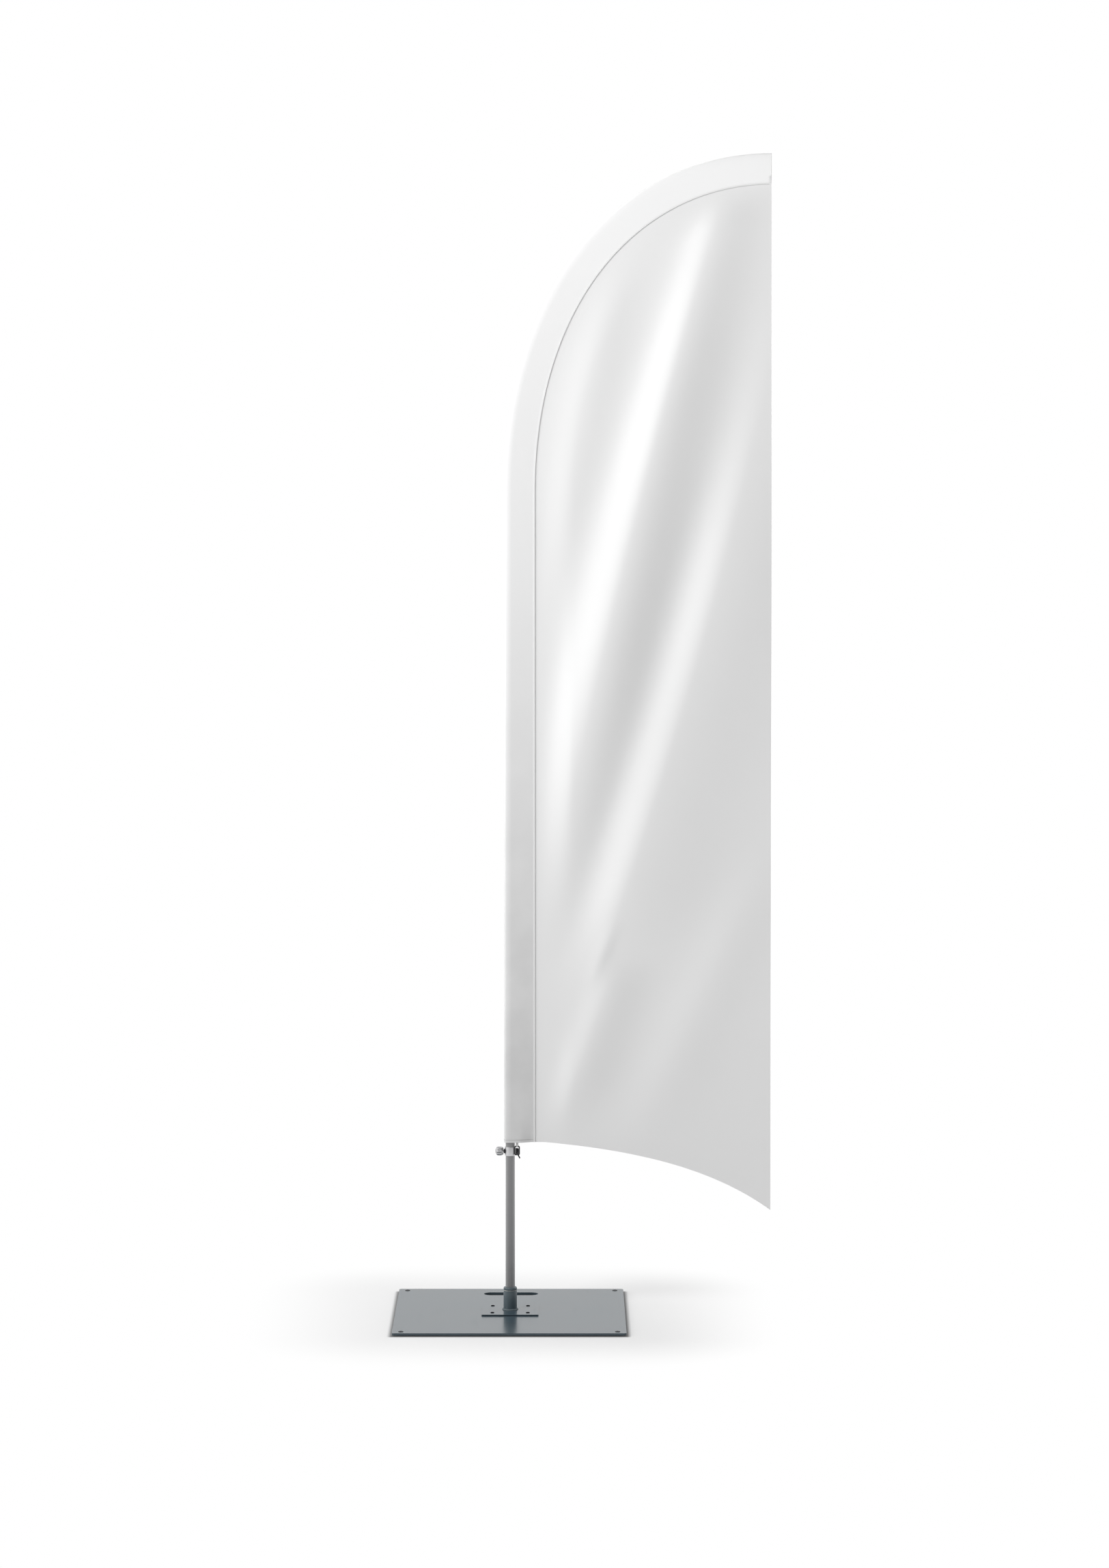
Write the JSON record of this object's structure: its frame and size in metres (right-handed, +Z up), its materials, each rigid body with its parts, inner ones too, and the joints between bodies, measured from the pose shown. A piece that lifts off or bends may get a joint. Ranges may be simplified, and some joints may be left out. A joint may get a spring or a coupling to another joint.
{
  "type": "feather flag with pole",
  "caption": "White feather flag on a whip mast that turns in the socket of a square steel base plate, with a sliding tension collar, strap and thumb screw.",
  "frame": {"origin": "on the mast's turning axis, at the underside of the rubber mat, where the base meets the floor", "axes": "+Z up along the mast; +X from the mast to the flag's free edge; -Y is the front"},
  "size_m": [0.8168, 0.5, 2.5256],
  "materials": {
    "rubber": "matt, finely ribbed",
    "grey_paint": "fine powder coat, satin",
    "dark_paint": "satin powder coat",
    "nylon": "moulded, satin",
    "bright_steel": "turned",
    "black_steel": "black oxide",
    "black_plastic": "moulded, satin",
    "mast_metal": "drawn tube, satin anodised",
    "fibreglass": "smooth resin",
    "brass": "turned",
    "pocket_cloth": "dense white polyester, smooth",
    "panel_cloth": "knitted white polyester, soft sheen",
    "webbing": "woven elastic",
    "collar_metal": "bead blasted",
    "knob_metal": "turned and fluted"
  },
  "bodies": {
    "base": {"rubber_mat": "rubber", "base_plate": "grey_paint", "mat_rivet_1": "black_plastic", "mat_rivet_2": "black_plastic", "mat_rivet_3": "black_plastic", "mat_rivet_4": "black_plastic", "flange_plate": "grey_paint", "flange_screw_1": "black_steel", "flange_screw_2": "black_steel", "flange_screw_3": "black_steel", "flange_screw_4": "black_steel", "socket_tube": "dark_paint", "weld_bead": "dark_paint", "lower_bush": "nylon", "upper_bush": "nylon", "thrust_washer": "nylon"},
    "rotor": {"rotor_sleeve": "dark_paint", "circlip": "bright_steel"},
    "mast": {"foot_plug": "black_plastic", "lower_mast": "mast_metal", "ferrule_1": "bright_steel", "second_mast": "mast_metal", "ferrule_2": "bright_steel", "third_mast": "fibreglass", "ferrule_3": "brass", "tip_rod": "fibreglass", "tip_cap": "black_plastic", "pole_pocket": "pocket_cloth", "flag_panel": "panel_cloth", "strap_anchor": "webbing"},
    "collar": {"tension_collar": "collar_metal", "strap_hook": "black_steel", "strap_ring": "black_plastic", "tension_strap": "webbing"},
    "stud": {"clamp_stud": "bright_steel", "pressure_pad": "nylon"},
    "knob": {"clamp_knob": "knob_metal", "knob_cap": "black_plastic"}
  },
  "joints": [
    {"name": "mast_turn", "type": "hinge", "parent": "base", "child": "rotor", "pos_m": [0, 0, 0.0135], "axis": [0, 0, 1], "continuous": true},
    {"name": "mast_lift", "type": "slide", "parent": "rotor", "child": "mast", "axis": [0, 0, 1], "range_m": [0, 0.04]},
    {"name": "collar_slide", "type": "slide", "parent": "mast", "child": "collar", "axis": [0, 0, 1], "range_m": [-0.015, 0.004], "deforming": ["tension_strap"]},
    {"name": "stud_feed", "type": "slide", "parent": "collar", "child": "stud", "axis": [-1, 0, 0], "range_m": [0, 0.0016]},
    {"name": "knob_turn", "type": "hinge", "parent": "stud", "child": "knob", "pos_m": [-0.0147, 0, 0.3562], "axis": [-1, 0, 0], "range_deg": [0, 720]}
  ],
  "couplings": [
    {"joint": "stud_feed", "follows": "knob_turn", "m_per_rad": 0.00012732}
  ]
}
